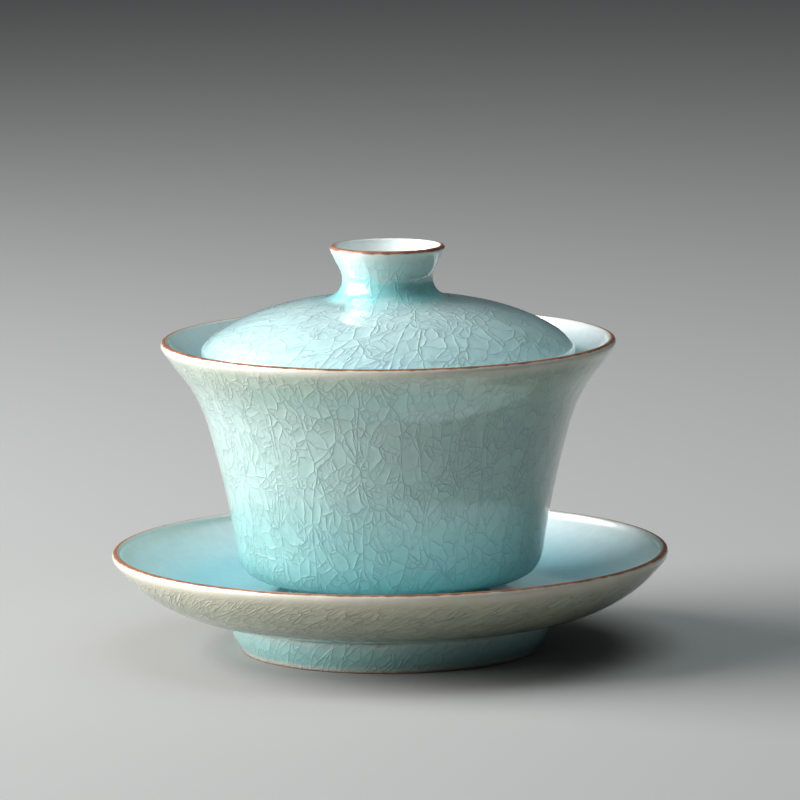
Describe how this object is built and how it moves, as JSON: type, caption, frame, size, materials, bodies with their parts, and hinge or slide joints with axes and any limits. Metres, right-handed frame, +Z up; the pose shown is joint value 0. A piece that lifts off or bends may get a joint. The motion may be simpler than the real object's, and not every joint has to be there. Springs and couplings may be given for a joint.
{
  "type": "gaiwan",
  "caption": "Lidded tea bowl with a flaring rim on a footed saucer, in crackled celadon glaze with iron-brown rims; lid and bowl lift off.",
  "frame": {"origin": "centre of the saucer's foot ring, on the surface that it stands on", "axes": "+Z up along the axis that all three pieces are turned on; the object looks the same from every side, so X and Y are free, with +Y pointing away from the front view"},
  "size_m": [0.1244, 0.1244, 0.0907],
  "materials": {
    "saucer_glaze": "glossy turquoise celadon glaze with fine crackle outside and a bare iron-brown rim",
    "bowl_glaze": "glossy grey-green celadon glaze with fine crackle and a bare iron-brown rim",
    "lid_glaze": "glossy pale turquoise celadon glaze with fine crackle and a bare iron-brown knob rim"
  },
  "bodies": {
    "saucer": {"saucer": "saucer_glaze"},
    "bowl": {"bowl": "bowl_glaze"},
    "lid": {"lid": "lid_glaze"}
  },
  "joints": [
    {"name": "bowl_lift", "type": "slide", "parent": "saucer", "child": "bowl", "axis": [0, 0, 1], "range_m": [0, 0.08]},
    {"name": "lid_lift", "type": "slide", "parent": "bowl", "child": "lid", "axis": [0, 0, 1], "range_m": [0, 0.06]}
  ]
}
